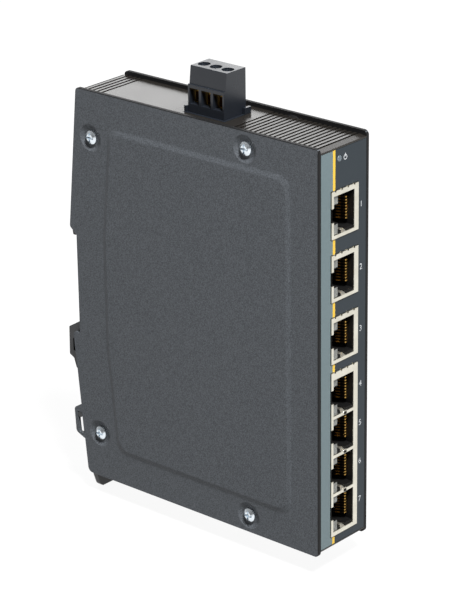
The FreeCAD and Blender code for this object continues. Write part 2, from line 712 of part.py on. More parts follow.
def insert_cavity(z):
    half = CAVITY_WIDE / 2
    front = INSERT_FACE - 1
    end = INSERT_FACE + CAVITY_LONG
    cavity = box(CAVITY_NEAR, CAVITY_FAR, front, end, z - half, z + half)
    channel = box(CAVITY_NEAR - LATCH_DEEP, CAVITY_NEAR + 0.1, front, end,
                  z - LATCH_CHANNEL / 2, z + LATCH_CHANNEL / 2)
    reach = CONTACT_PITCH * CONTACT_COUNT / 2
    legs = box(CAVITY_FAR - 0.1, PORT_RIGHT + 1, CONTACT_REAR - 0.8, end, z - reach, z + reach)
    low, high = mouth_span(z)
    x0, x1 = tab_span()
    tab_bed = box(x0 - TAB_ROOM, x1 + TAB_ROOM, front, PORT_FACE + TAB_LONG + TAB_ROOM,
                  low - SHIELD - TAB_ROOM, z - half + 0.1)
    return fuse([cavity, channel, legs, tab_bed] + lens_boxes(z, LENS_GAP))


def lens_boxes(z, gap):
    """Boxes of the two light windows beside the latch, grown by a gap and open at the front if it is set."""
    near = MOUTH_NEAR + 0.1
    inner = LATCH_CHANNEL / 2 + 0.35
    front = INSERT_FACE - (1 if gap else 0)
    low, high = mouth_span(z)
    spans = [(low + 0.1, z - inner), (z + inner, high - 0.1)]
    return [box(near - gap, near + LENS_DEEP + gap, front, INSERT_FACE + LENS_LONG + gap, z0 - gap, z1 + gap)
            for z0, z1 in spans]


def port_lenses(z):
    return Part.Compound(lens_boxes(z, 0))


def contact_set(z):
    """Eight spring contacts: up from the board, along the cavity's floor, bent back into it."""
    rear = CONTACT_REAR
    bend = FRONT + CONTACT_FRONT
    thick = CONTACT_THICK
    floor = CAVITY_FAR - 0.15
    tip_x = CAVITY_NEAR + 2.6
    tip_y = rear - 4.2
    board = BOARD_BACK + 0.7
    points = [
        (board, rear, 0), (board, rear - thick, 0), (floor, rear - thick, 0), (floor, bend, 0.75),
        (floor - 1.5, bend, 0.5), (tip_x, tip_y, 0), (tip_x + thick, tip_y + thick * 0.6, 0),
        (floor - 1.4, bend + thick, 0), (floor - thick, bend + thick, 0.4), (floor - thick, rear, 0),
    ]
    solids = []
    for i in range(CONTACT_COUNT):
        middle = z + CONTACT_PITCH * (i - (CONTACT_COUNT - 1) / 2)
        solids.append(plan_prism(points, middle - CONTACT_WIDE / 2, middle + CONTACT_WIDE / 2))
    return Part.Compound(solids)


# ---- board and what is soldered to it ----
def through_board(y0, y1, z0, z1):
    return box(BOARD_X - 1, BOARD_BACK + 1, y0, y1, z0, z1)


def main_board():
    edge = FRAME_IN - BOARD_MARGIN
    front = FRONT + PLATE_THICK + BOARD_FRONT_GAP
    board = box(BOARD_X, BOARD_BACK, front, -BOARD_REAR_IN, -edge, edge)
    room = BOSS_R + 0.5
    for y, z in SCREWS:
        board = board.cut(rod((BOARD_X - 1, y, z), (1, 0, 0), room, BOARD_THICK + 2))
    for y, z in LUGS:
        board = board.cut(rod((BOARD_X - 1, y, z), (1, 0, 0), BOARD_HOLE_R, BOARD_THICK + 2))
    for sign in (-1, 1):
        low, high = toward(sign, SCREW_FRONT_Z, edge + 1)
        board = board.cut(through_board(SCREW_FRONT_Y - room, SCREW_FRONT_Y + room, low, high))
    half = CONTACT_PITCH * CONTACT_COUNT / 2
    for z in PORT_ZS + GANG_ZS:
        board = board.cut(through_board(CONTACT_REAR - 0.6, CONTACT_REAR + 0.3, z - half, z + half))
    reach = PIN_SIDE / 2 + 0.1
    for y in POLE_YS:
        board = board.cut(through_board(y - reach, y + reach, PIN_Z - reach, PIN_Z + reach))
    return board


def board_screws():
    length = LUG_LONG + BOARD_THICK - 0.4
    screw = mirrored(pan_screw(length, BOARD_SCREW_R, BOARD_HEAD_R, BOARD_HEAD, BOARD_DRIVE, BOARD_DRIVE_DEPTH))
    solids = []
    for y, z in LUGS:
        one = screw.copy()
        one.translate(V(BOARD_BACK, y, z))
        solids.append(one)
    return Part.Compound(solids)


def on_board(y0, y1, z0, z1, high):
    return box(BOARD_X - high, BOARD_X, y0, y1, z0, z1)


def switch_chip():
    half = CHIP_SIDE / 2
    body = half - LEAD_LONG
    package = on_board(CHIP_Y - body, CHIP_Y + body, CHIP_Z - body, CHIP_Z + body, CHIP_THICK)
    leads = []
    row = body - 1.8
    for i in range(CHIP_LEADS):
        place = -row + i * 2 * row / (CHIP_LEADS - 1)
        low, high = place - LEAD_WIDE / 2, place + LEAD_WIDE / 2
        leads.append(on_board(CHIP_Y - half, CHIP_Y + half, CHIP_Z + low, CHIP_Z + high, LEAD_HIGH))
        leads.append(on_board(CHIP_Y + low, CHIP_Y + high, CHIP_Z - half, CHIP_Z + half, LEAD_HIGH))
    return fuse([package] + leads)


def heat_sink():
    half = SINK_SIDE / 2
    low = BOARD_X - CHIP_THICK
    z0, z1 = CHIP_Z - half, CHIP_Z + half
    sink = [box(low - SINK_BASE, low, CHIP_Y - half, CHIP_Y + half, z0, z1)]
    step = (SINK_SIDE - SINK_FIN) / (SINK_FINS - 1)
    for i in range(SINK_FINS):
        y = CHIP_Y - half + step * i
        sink.append(box(low - SINK_HEIGHT, low - SINK_BASE + 0.1, y, y + SINK_FIN, z0, z1))
    return fuse(sink)


def magnetics():
    y0 = PORT_FACE + PORT_LONG + MAGNETIC_GAP
    half = MAGNETIC_LONG / 2
    places = PORT_ZS + [GANG_MID_Z + GANG_PITCH, GANG_MID_Z - GANG_PITCH]
    return Part.Compound([on_board(y0, y0 + MAGNETIC_WIDE, z - half, z + half, MAGNETIC_HIGH) for z in places])


def supply_capacitors():
    cans = []
    end = BOARD_X - CAPACITOR_HIGH
    for i in range(2):
        can = rod((end, -CAPACITOR_IN - CAPACITOR_PITCH * i, SUPPLY_Z), (1, 0, 0), CAPACITOR_R, CAPACITOR_HIGH)
        rim = [e for e in can.Edges if abs(e.BoundBox.XMax - end) < 1e-4]
        cans.append(can.makeChamfer(CAPACITOR_EDGE, rim))
    return Part.Compound(cans)


def pad(y, z, long, wide, radius, high):
    """Rounded block on the board about a middle."""
    points = [(y - long / 2, z - wide / 2, radius), (y + long / 2, z - wide / 2, radius),
              (y + long / 2, z + wide / 2, radius), (y - long / 2, z + wide / 2, radius)]
    return side_prism(points, BOARD_X - high, BOARD_X)


def power_inductor():
    return pad(-INDUCTOR_IN, SUPPLY_Z, INDUCTOR_SIDE, INDUCTOR_SIDE, INDUCTOR_RADIUS, INDUCTOR_HIGH)


def clock_crystal():
    return pad(CHIP_Y + CRYSTAL_BACK, CHIP_Z, CRYSTAL_LONG, CRYSTAL_WIDE, CRYSTAL_WIDE / 2 - 0.1, CRYSTAL_HIGH)


def status_led():
    y = FRONT + PLATE_THICK + PIPE_LONG
    z = LED_Z - STATUS_DROP
    return on_board(y, y + STATUS_LONG, z - STATUS_WIDE / 2, z + STATUS_WIDE / 2, STATUS_HIGH)


def light_pipe():
    """Round lens in the front plate on a flat arm that reaches back to the light on the board."""
    lens = rod((LED_X, FRONT - LED_PROUD, LED_Z), (0, 1, 0), LED_R, PLATE_THICK + PIPE_LONG)
    rim = [e for e in lens.Edges if abs(e.BoundBox.YMax - (FRONT - LED_PROUD)) < 1e-4]
    lens = lens.makeFillet(LED_PROUD * 2, rim)
    y = FRONT + PLATE_THICK + PIPE_ARM_Y
    end = BOARD_X - STATUS_HIGH - 0.3
    top = LED_Z + LED_R - PIPE_DROP
    low = LED_Z - LED_R
    arm = box(LED_X, end, y, y + PIPE_ARM, low, top)
    head = box(end - PIPE_ARM, end, y, FRONT + PLATE_THICK + PIPE_LONG + STATUS_LONG, low - 1.2, top)
    return fuse([lens, arm, head])


# ---- power header and the plug that lifts out of it ----
def header_span(gap):
    reach = HEADER_GAP + HEADER_WALL + gap
    return PLUG_LEFT - reach, PLUG_RIGHT + reach


def header_window():
    x0, x1 = header_span(0.2)
    reach = PLUG_HALF + HEADER_GAP + HEADER_WALL + 0.2
    return box(x0, x1, PLUG_MID_Y - reach, PLUG_MID_Y + reach, FRAME_IN - 1, FRAME_TOP + 1)


def power_header():
    """Socket for the plug, with a raised wall at each end: a wide one behind and a narrow one in front."""
    x0, x1 = header_span(0)
    reach = PLUG_HALF + HEADER_GAP + HEADER_WALL
    front, back = PLUG_MID_Y - reach, PLUG_MID_Y + reach
    floor = PLUG_FOOT - 0.3
    low = floor - HEADER_FLOOR
    shroud = box(x0, x1, front, back, low, FRAME_TOP)
    base = box(x1 - 0.1, BOARD_X, front, back, low, FRAME_IN - 2.2)
    top = FRAME_TOP + LATCH_RISE
    wide = box(x0 + HEADER_WALL / 2, x1, back - HEADER_WALL, back, FRAME_TOP - 1, top)
    narrow = box(x1 - LATCH_NARROW, x1, front, front + HEADER_WALL, FRAME_TOP - 1, top)
    gap = HEADER_GAP
    cavity = box(PLUG_LEFT - gap, PLUG_RIGHT + gap, PLUG_Y0 - gap, PLUG_Y1 + gap, floor, PLUG_TOP)
    return fuse([shroud, base, wide, narrow]).cut(cavity).cut(header_pins())


def header_pins():
    half = PIN_SIDE / 2
    pins = []
    for y in POLE_YS:
        upright = at_pole(y, -half, half, PIN_SIDE, PIN_Z - half, PLUG_FOOT + PIN_LONG)
        tail = at_pole(y, -half, BOARD_BACK + 0.8 - PLUG_X, PIN_SIDE, PIN_Z - half, PIN_Z + half)
        pins.append(fuse([upright, tail]))
    return Part.Compound(pins)


def at_pole(y, x0, x1, wide, z0, z1):
    """Box about a pole: X measured from the pole, the width centred on it."""
    return box(PLUG_X + x0, PLUG_X + x1, y - wide / 2, y + wide / 2, z0, z1)


def plug_body():
    ledge = FRAME_TOP + LEDGE_RISE
    corners = [
        (PLUG_LEFT, PLUG_FOOT, 0.25), (PLUG_RIGHT, PLUG_FOOT, 0.25), (PLUG_RIGHT, PLUG_TOP, 0.25),
        (PLUG_X - PLUG_TOP_NEAR, PLUG_TOP, 0.2), (PLUG_LEFT + PLUG_LEDGE_STEP, ledge, 0),
        (PLUG_LEFT, ledge, 0.25),
    ]
    body = front_prism(corners, PLUG_Y0, PLUG_Y1)
    bar_far = CAGE_HALF + BAR_THICK + 0.15
    bar_wide = BAR_WIDE + 0.2
    sole = SOLE_LOW - 0.05
    for y in POLE_YS:
        body = body.cut(at_pole(y, -PLUG_NEAR - 1, -CAGE_HALF, ENTRY_WIDE, ENTRY_LOW, ENTRY_TOP))
        room = CAGE_HALF + CAGE_GAP
        body = body.cut(at_pole(y, -room, room, CHAMBER_WIDE, CHAMBER_Z, CHAMBER_TOP))
        body = body.cut(rod((PLUG_X, y, CHAMBER_TOP - 0.1), (0, 0, 1), SCREW_WELL_R, PLUG_TOP))
        neck = PIN_SIDE + 0.4
        body = body.cut(at_pole(y, -neck, neck, 2 * neck - 0.4, PLUG_FOOT - 1, CHAMBER_Z + 0.1))
        body = body.cut(at_pole(y, CAGE_HALF - 0.1, bar_far, bar_wide, sole, BAR_TOP + 0.1))
        body = body.cut(at_pole(y, PIN_SIDE, bar_far, bar_wide, sole, sole + BAR_THICK + 0.1))
    return body


def terminal_cage(y):
    """Square ring that the screw lifts against the fixed bar."""
    wide = CHAMBER_WIDE - 2 * CAGE_GAP
    low = ENTRY_LOW - 0.4
    cage = at_pole(y, -CAGE_HALF, CAGE_HALF, wide, low, CAGE_TOP)
    ceiling = CAGE_TOP - CAGE_WALL
    window = at_pole(y, -CAGE_HALF - 1, CAGE_HALF + 1, wide - 2 * CAGE_SIDE, low + CAGE_WALL, ceiling)
    thread = rod((PLUG_X, y, ceiling - 1), (0, 0, 1), CLAMP_SCREW_R + CLAMP_SCREW_GAP, CAGE_WALL + 2)
    return cage.cut(window).cut(thread)


def terminal_screw(y):
    head_low = CHAMBER_TOP - HEAD_SINK
    head_top = head_low + CLAMP_HEAD
    tip = BAR_TOP + 0.2
    shank = rod((PLUG_X, y, tip), (0, 0, 1), CLAMP_SCREW_R, head_low - tip + 0.1)
    head = rod((PLUG_X, y, head_low), (0, 0, 1), CLAMP_HEAD_R, CLAMP_HEAD)
    reach = CLAMP_HEAD_R + 1
    slot = at_pole(y, -reach, reach, CLAMP_SLOT, head_top - CLAMP_SLOT_DEPTH, head_top + 1)
    return fuse([shank, head]).cut(slot)


def plug_contacts():
    """Brass pieces fixed in the plug: a bar through each cage, down to a sleeve round the pin."""
    far = CAGE_HALF + BAR_THICK
    sleeve = PIN_SIDE + 0.3
    bore = PIN_SIDE / 2 + PIN_GAP
    sole_top = SOLE_LOW + BAR_THICK
    pieces = []
    for y in POLE_YS:
        parts = [
            at_pole(y, -CAGE_HALF, far, BAR_WIDE, BAR_TOP - BAR_THICK, BAR_TOP),
            at_pole(y, CAGE_HALF + 0.05, far, BAR_WIDE, SOLE_LOW, BAR_TOP),
            at_pole(y, PIN_SIDE + 0.1, far, BAR_WIDE, SOLE_LOW, sole_top),
            at_pole(y, -sleeve, sleeve, 2 * sleeve - 0.4, PLUG_FOOT + 0.6, sole_top),
        ]
        hole = at_pole(y, -bore, bore, 2 * bore, PLUG_FOOT - 1, PLUG_FOOT + PIN_LONG + 0.4)
        pieces.append(fuse(parts).cut(hole))
    return Part.Compound(pieces)


# ---- rail clip, its spring and their pocket in the frame ----
def clip_line(z, offset):
    return rear_edge(z) - CLIP_OFFSET + offset


def rail_clip():
    foot = -TOP - FOOT_DROP
    start = -HOOK_END - 3.0
    plate_profile = [(clip_line(start, 0), start, 0), (clip_line(foot, 0), foot, 0.3),
                     (clip_line(foot, CLIP_THICK), foot, 0.3), (clip_line(start, CLIP_THICK), start, 0)]
    plate = side_prism(plate_profile, -CLIP_HALF, CLIP_HALF)
    narrow = CLIP_HALF - FOOT_TAPER
    limit = front_prism([(-CLIP_HALF, 0, 0), (CLIP_HALF, 0, 0), (CLIP_HALF, -TOP - 2, 1.5),
                         (narrow, foot, FOOT_RADIUS), (-narrow, foot, FOOT_RADIUS),
                         (-CLIP_HALF, -TOP - 2, 1.5)], -CUT_REACH, CUT_REACH)
    plate = plate.common(limit)
    shelf = RAIL_EDGE + 0.25
    nose = RAIL_FLANGE + 0.25
    cheek_profile = [
        (nose, -HOOK_HEIGHT, 0.2), (HOOK_REACH - 0.2, -HOOK_HEIGHT - HOOK_SLANT, 0.4),
        (HOOK_REACH, -HOOK_END + 0.5, 0.6), (HOOK_REACH - 2.0, -HOOK_END - 0.6, 0.3),
        (clip_line(start - 1, CLIP_THICK), start - 1, 0), (clip_line(start - 1, 0), start - 1, 0),
        (0.3, -HOOK_END + 4, 0.5), (0.3, -shelf, 0), (nose, -shelf, 0),
    ]
    slit_back = HOOK_REACH - 1.9
    slit = [(2.2, -HOOK_SLIT_TOP, 0.3), (slit_back, -HOOK_SLIT_TOP, 0.3),
            (slit_back, -HOOK_SLIT_END, 0.3), (2.2, -HOOK_SLIT_END, 0.3)]
    outer = INNER - CHEEK_GAP
    cheek = side_prism(cheek_profile, -outer, -outer + CHEEK)
    cheek = cheek.cut(side_prism(slit, -outer - 1, -outer + CHEEK + 1))
    bridge_profile = [(0.3, -shelf, 0), (2.0, -shelf, 0), (2.2, -HOOK_END + 4, 0),
                      (clip_line(start - 1, CLIP_THICK), start - 1, 0),
                      (clip_line(start - 1, 0), start - 1, 0), (0.3, -HOOK_END + 4, 0)]
    bridge = side_prism(bridge_profile, -outer, outer)
    y = peg_place()
    peg = rod((-HALF + 0.05, y, PEG_Z), (1, 0, 0), PEG_R, WIDTH - 0.1)
    clip = fuse([plate, cheek, mirrored(cheek), bridge, peg, spring_tongue()])
    top, end = -TOP - PULL_TOP, -TOP - PULL_END
    hole = front_prism([(-PULL_HALF, top, 0.6), (PULL_HALF, top, 0.6), (PULL_HALF, end, 0.6),
                        (-PULL_HALF, end, 0.6)], -CUT_REACH, CUT_REACH)
    return clip.cut(hole)


def spring_tongue():
    """Tongue on the clip that reaches into the frame's pocket and presses on the spring."""
    reach = SPRING_R + 0.4
    return box(-reach, reach, SPRING_Y - SPRING_R + 0.3, clip_line(TONGUE_LOW, CLIP_THICK / 2),
               TONGUE_LOW, TONGUE_LOW + TONGUE_THICK)


def spring_housing():
    half = SPRING_R + POCKET_GAP + POCKET_SIDE + POCKET_WALL
    return box(-half, half, POCKET_IN - POCKET_WALL, -CHANNEL_DEPTH - 0.5, POCKET_FLOOR - 1.4, POCKET_TOP + 1.4)


def spring_pocket():
    half = SPRING_R + POCKET_GAP + POCKET_SIDE
    return box(-half, half, POCKET_IN, 1, POCKET_FLOOR, POCKET_TOP)


def clip_spring():
    """Compression spring: square wire swept along a helix."""
    half = SPRING_WIRE / 2
    radius = SPRING_R - half
    long = SPRING_LONG - SPRING_WIRE - 0.1
    helix = Part.makeHelix(long / SPRING_TURNS, long, radius)
    corners = [(-half, -half, 0), (half, -half, 0), (half, half, 0), (-half, half, 0)]
    profile = outline(corners, lambda p: V(radius + p.x, 0, p.y))
    spring = Part.Wire(helix).makePipeShell([profile], True, True)
    spring.translate(V(0, SPRING_Y, POCKET_FLOOR + half + 0.05))
    return spring


# ---- build ----
def build():
    os.makedirs("parts", exist_ok=True)
    left = left_cover()
    save("side_cover_left", left)
    save("side_cover_right", mirrored(left))
    save("cover_screws", cover_screws())
    save("housing_frame", housing_frame())
    save("front_plate", front_plate())
    save("front_foil", front_foil())
    for i, z in enumerate(PORT_ZS):
        name = str(i + 1)
        save("port_shield_" + name, shield_shell(z - PORT_HALF, z + PORT_HALF, [z]))
        save("port_insert_" + name, insert_block(z - PORT_HALF, z + PORT_HALF, [z]))
    low, high = GANG_MID_Z - GANG_HALF, GANG_MID_Z + GANG_HALF
    save("gang_shield", shield_shell(low, high, GANG_ZS))
    save("gang_insert", insert_block(low, high, GANG_ZS))
    for i, z in enumerate(PORT_ZS + GANG_ZS):
        save("port_contacts_" + str(i + 1), contact_set(z))
        save("port_lenses_" + str(i + 1), port_lenses(z))
    save("main_board", main_board())
    save("board_screws", board_screws())
    save("switch_chip", switch_chip())
    save("heat_sink", heat_sink())
    save("magnetics", magnetics())
    save("supply_capacitors", supply_capacitors())
    save("power_inductor", power_inductor())
    save("clock_crystal", clock_crystal())
    save("status_led", status_led())
    save("light_pipe", light_pipe())
    save("power_header", power_header())
    save("header_pins", header_pins())
    save("plug_body", plug_body())
    save("plug_contacts", plug_contacts())
    for i, y in enumerate(POLE_YS):
        save("terminal_screw_" + str(i + 1), terminal_screw(y))
        save("terminal_cage_" + str(i + 1), terminal_cage(y))
    save("rail_clip", rail_clip())
    save("clip_spring", clip_spring())


build()
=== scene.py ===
# %% [markdown]
# # A slim network switch for a cabinet rail
# The CAD model already has the right shapes, so this lesson is about surfaces: powder coat, nickel,
# gold springs, moulded nylon and a printed foil. A spring, three nubs and some printed marks are the
# only pieces made here.
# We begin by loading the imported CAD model, which is in metres and must never be moved.

# %% Load the frame
import math

import bpy
from mathutils import Matrix, Vector


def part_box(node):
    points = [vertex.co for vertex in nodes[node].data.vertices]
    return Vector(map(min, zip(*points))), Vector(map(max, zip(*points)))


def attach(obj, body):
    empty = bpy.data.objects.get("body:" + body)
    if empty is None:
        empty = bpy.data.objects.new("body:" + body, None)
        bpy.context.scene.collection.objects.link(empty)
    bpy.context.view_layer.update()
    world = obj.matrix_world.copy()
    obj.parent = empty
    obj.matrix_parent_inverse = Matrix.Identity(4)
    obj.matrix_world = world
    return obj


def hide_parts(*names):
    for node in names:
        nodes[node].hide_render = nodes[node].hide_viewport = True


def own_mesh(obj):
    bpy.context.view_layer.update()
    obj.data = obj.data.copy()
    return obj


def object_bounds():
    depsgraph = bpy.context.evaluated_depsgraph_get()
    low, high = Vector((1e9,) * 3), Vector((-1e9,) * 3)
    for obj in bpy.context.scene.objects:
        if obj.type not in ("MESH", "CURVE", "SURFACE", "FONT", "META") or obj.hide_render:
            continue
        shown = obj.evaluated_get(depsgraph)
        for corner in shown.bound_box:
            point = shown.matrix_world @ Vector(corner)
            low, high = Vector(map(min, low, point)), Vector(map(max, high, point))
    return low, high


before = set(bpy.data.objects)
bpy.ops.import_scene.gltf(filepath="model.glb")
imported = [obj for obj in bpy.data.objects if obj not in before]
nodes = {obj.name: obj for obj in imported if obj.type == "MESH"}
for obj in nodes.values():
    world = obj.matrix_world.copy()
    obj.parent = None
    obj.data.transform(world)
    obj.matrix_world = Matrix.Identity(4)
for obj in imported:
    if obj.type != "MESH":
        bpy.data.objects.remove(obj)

cad_low, cad_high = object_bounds()
print("CAD nodes:", len(nodes), "box:", [round(v * 1000, 1) for v in (*cad_low, *cad_high)])

# %% [markdown]
# Blender works in metres, but the sizes of this object are easier to read in millimetres. Colours are
# written as the hex values of a colour picker, and a shader wants linear light, so one function turns
# the first into the second.

# %% Units and colours
MM = 0.001


def hex_colour(text):
    """sRGB hex such as 'd0d4d8' to linear RGBA."""
    channels = [int(text[i:i + 2], 16) / 255 for i in (0, 2, 4)]
    linear = [c / 12.92 if c <= 0.04045 else ((c + 0.055) / 1.055) ** 2.4 for c in channels]
    return (*linear, 1.0)


print("mid grey in linear light:", [round(c, 3) for c in hex_colour("808080")])

# %% [markdown]
# Every finish is a small node tree. One helper adds a node, sets it up and links its inputs, and a
# second starts a material with its shader. A pattern's scale is worked out from a real size in
# millimetres: Blender's noise has about one feature per unit, so a grain of 0.5 mm needs a scale of
# 1 / 0.0005.

# %% Node helpers
def add_node(tree, kind, settings=None, **links):
    """Adds a node: settings are its own choices, and links are its inputs.

    Each input gets a value or another node's output. It goes by its name, with _ for a space, or by
    its number: i0, i1.
    """
    node = tree.nodes.new(kind)
    for name, value in (settings or {}).items():
        setattr(node, name, value)
    for name, value in links.items():
        by_number = name[0] == "i" and name[1:].isdigit()
        key = int(name[1:]) if by_number else name.replace("_", " ")
        if isinstance(value, bpy.types.NodeSocket):
            tree.links.new(value, node.inputs[key])
        else:
            node.inputs[key].default_value = value
    return node


def new_finish(name, colour, roughness, metallic=0.0):
    """A material with an empty Principled shader: returns the material, its tree and the shader."""
    material = bpy.data.materials.new(name)
    material.use_nodes = True
    tree = material.node_tree
    shader = tree.nodes["Principled BSDF"]
    shader.inputs["Base Color"].default_value = hex_colour(colour)
    shader.inputs["Roughness"].default_value = roughness
    shader.inputs["Metallic"].default_value = metallic
    return material, tree, shader


def grain(feature_mm):
    """Noise scale for features of that size."""
    return 1 / (feature_mm * MM)


print("scale for a 0.5 mm grain:", grain(0.5))

# %% [markdown]
# Four jobs come up in nearly every finish, so each gets a function of its own that returns what the
# next node needs: noise of a real size, a mix of two colours, a sum, and a range for the roughness.

# %% Pattern helpers
def noise(tree, place, feature_mm, detail, **more):
    """Noise on Object coordinates, with features of that size."""
    node = add_node(tree, "ShaderNodeTexNoise", Vector=place.outputs["Object"],
                    Scale=grain(feature_mm), Detail=detail, **more)
    return node.outputs["Fac"]


def mix(tree, factor, low, high):
    """The colour low where the factor is 0, and high where it is 1."""
    node = add_node(tree, "ShaderNodeMix", {"data_type": "RGBA"}, Factor=factor, A=low, B=high)
    return node.outputs["Result"]


def compute(tree, operation, *values):
    """One sum or comparison of numbers."""
    inputs = {f"i{k}": value for k, value in enumerate(values)}
    node = add_node(tree, "ShaderNodeMath", {"operation": operation}, **inputs)
    return node.outputs["Value"]


def spread(tree, value, low, high, **more):
    """Stretches a value from 0..1 to low..high."""
    node = add_node(tree, "ShaderNodeMapRange", Value=value, To_Min=low, To_Max=high, **more)
    return node.outputs["Result"]


print("pattern helpers:", [job.__name__ for job in (noise, mix, compute, spread)])

# %% [markdown]
# ## The coated steel covers
# The covers are steel sheet with a fine-textured powder coat. The powder melts into tiny even bumps,
# so the coat is dark, dull and slightly sparkling. Image textures could show that, but noise on Object
# coordinates needs no unwrapping and keeps its grain the same size everywhere.
#
# Inside the shell, and on its cut edges in front and on top, near-black painted shade takes the coat's
# place and draws a dark outline. That is a matter of place: inside is where Object X is nearer the
# middle than the sheet, and the cut edges lie in front of one Y and above one Z.

# %% Textured powder coat
POWDER_GRAIN = 0.36        # mm, from bump to bump
POWDER_RELIEF = 0.05       # mm, height of the bumps
POWDER_CLOUD = 30          # mm, size of the patches that are a little duller
POWDER_DULLNESS = (0.5, 0.64)
SHEET_IN = 11.53           # mm, a hair outside the covers' inner faces
EDGE_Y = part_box("side_cover_left")[0][1] / MM + 0.4      # mm, just behind the covers' front edges
EDGE_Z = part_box("side_cover_left")[1][2] / MM - 0.3      # mm, just below their top edges


def textured_powder_coat():
    """Dark blue-grey polyester powder: even bumps that break up every highlight.

    Near-black painted shade inside and on the cut edges gives the shell its dark outline.
    """
    material, tree, shader = new_finish("textured_powder_coat", "35383c", 0.55)
    shader.inputs["Specular IOR Level"].default_value = 0.2
    place = add_node(tree, "ShaderNodeTexCoord")

    # Crests are painted paler and the hollows between them darker, as painted light and shade on the
    # bumps, which gives a fine salt-and-pepper grain.
    bumps = noise(tree, place, POWDER_GRAIN, 1.0, Roughness=0.5)
    shade = add_node(tree, "ShaderNodeValToRGB", Fac=bumps)
    shaded_hollow, lit_crest = shade.color_ramp.elements
    shaded_hollow.position, shaded_hollow.color = 0.3, hex_colour("2b2e31")
    lit_crest.position, lit_crest.color = 0.7, hex_colour("45484c")
    bump = add_node(tree, "ShaderNodeBump", Height=bumps, Strength=0.12, Distance=POWDER_RELIEF * MM)

    # Large patches are a little duller, so a broad highlight isn't even.
    patches = noise(tree, place, POWDER_CLOUD, 3.0)
    rough = spread(tree, patches, *POWDER_DULLNESS)

    # Painted shade: near-black inside the shell and on the front and top cut edges, in place of the
    # coat.
    axes = add_node(tree, "ShaderNodeSeparateXYZ", Vector=place.outputs["Object"])
    across = compute(tree, "ABSOLUTE", axes.outputs["X"])
    inside = compute(tree, "LESS_THAN", across, SHEET_IN * MM)
    front = compute(tree, "LESS_THAN", axes.outputs["Y"], EDGE_Y * MM)
    top = compute(tree, "GREATER_THAN", axes.outputs["Z"], EDGE_Z * MM)
    cut = compute(tree, "MAXIMUM", front, top)
    painted_shade_mask = compute(tree, "MAXIMUM", inside, cut)
    coat = mix(tree, painted_shade_mask, shade.outputs["Color"], hex_colour("0a0a0b"))

    tree.links.new(coat, shader.inputs["Base Color"])
    tree.links.new(rough, shader.inputs["Roughness"])
    tree.links.new(bump.outputs["Normal"], shader.inputs["Normal"])
    return material


cover_coat = textured_powder_coat()
print("made", cover_coat.name)

# %% [markdown]
# The frame between the covers and the front plate have a smoother coat, which mirrors the room at
# grazing angles. It has only a faint orange peel, a few millimetres from crest to crest.

# %% Smooth coat
PEEL = 2.5                 # mm, from crest to crest
PEEL_RELIEF = 0.03         # mm, height of the waves
SMEAR = 18                 # mm, size of the smears left by handling


def smooth_coat(name, colour, roughness, gloss):
    """Satin enamel: faint waves from crest to crest, so straight reflections waver a little."""
    material, tree, shader = new_finish(name, colour, roughness)
    shader.inputs["Specular IOR Level"].default_value = gloss
    place = add_node(tree, "ShaderNodeTexCoord")
    peel = noise(tree, place, PEEL, 1.0)
    smears = noise(tree, place, SMEAR, 4.0)
    rough = spread(tree, smears, roughness - 0.05, roughness + 0.08)
    bump = add_node(tree, "ShaderNodeBump", Height=peel, Strength=0.12, Distance=PEEL_RELIEF * MM)
    tree.links.new(rough, shader.inputs["Roughness"])
    tree.links.new(bump.outputs["Normal"], shader.inputs["Normal"])
    return material


frame_coat = smooth_coat("satin_enamel_frame", "171513", 0.24, 0.5)
plate_coat = smooth_coat("satin_enamel_plate", "1a2126", 0.42, 0.25)
print("made", frame_coat.name, plate_coat.name)

# %% [markdown]
# ## Metals
# Nickel on the socket shields is satin and slightly warm. Screws are zinc plated: bright, bluish, with
# a faint cloudiness. A metal takes its colour from its reflection, so metallic is 1 and the base colour
# is what it mirrors.

# %% Plated metals
SCRATCH = 0.25             # mm, from scratch to scratch
SCRATCH_STRETCH = 0.08     # share of the pattern's scale along Z, which draws it out that way


def plated_metal(name, colour, dark, roughness, cloud_mm):
    """Plated metal: clouds of slightly duller plate, and short fine scratches along Z."""
    material, tree, shader = new_finish(name, colour, roughness, 1.0)
    place = add_node(tree, "ShaderNodeTexCoord")
    clouds = noise(tree, place, cloud_mm, 3.0)
    drawn = add_node(tree, "ShaderNodeMapping", Vector=place.outputs["Object"],
                     Scale=(1.0, 1.0, SCRATCH_STRETCH))
    lines = add_node(tree, "ShaderNodeTexNoise", Vector=drawn.outputs["Vector"],
                     Scale=grain(SCRATCH), Detail=2.0)
    tint = mix(tree, clouds, hex_colour(dark), hex_colour(colour))
    rough = spread(tree, lines.outputs["Fac"], roughness - 0.08, roughness + 0.15)
    tree.links.new(tint, shader.inputs["Base Color"])
    tree.links.new(rough, shader.inputs["Roughness"])
    return material


nickel = plated_metal("satin_nickel_plate", "e9e6da", "c8c4b5", 0.34, 3.0)
zinc = plated_metal("bright_zinc_plate", "f2f8fc", "d3dce4", 0.22, 1.2)
brass = plated_metal("plain_brass", "cfb06a", "a8854a", 0.3, 2.0)
aluminium = plated_metal("plain_aluminium", "c9cccf", "a9adb0", 0.4, 5.0)
print("made", [m.name for m in (nickel, zinc, brass, aluminium)])

# %% [markdown]
# The contacts are sprung bronze with a gold plate. Only the outer bend of each shows the bright gold.
# Behind it the colour is painted shade: dark brown deeper in the socket, with a paler brown band
# halfway along its slope. A colour ramp along Object X does all of that.

# %% Contacts
BEND_X = 3.5               # mm, from here outwards the bend is fully bright
# Painted shade: dark brown deep in the socket, and a paler brown halfway along the contact's slope.
SOCKET_SHADE_BROWN, HALF_SHADE_BROWN = "1c140b", "7d5726"
ALONG_CONTACT = (          # share of the way to the bend, and the colour there
    (0.54, HALF_SHADE_BROWN), (0.66, HALF_SHADE_BROWN), (0.72, SOCKET_SHADE_BROWN), (0.88, "241a0e"), (1.0, "f6c46c"))


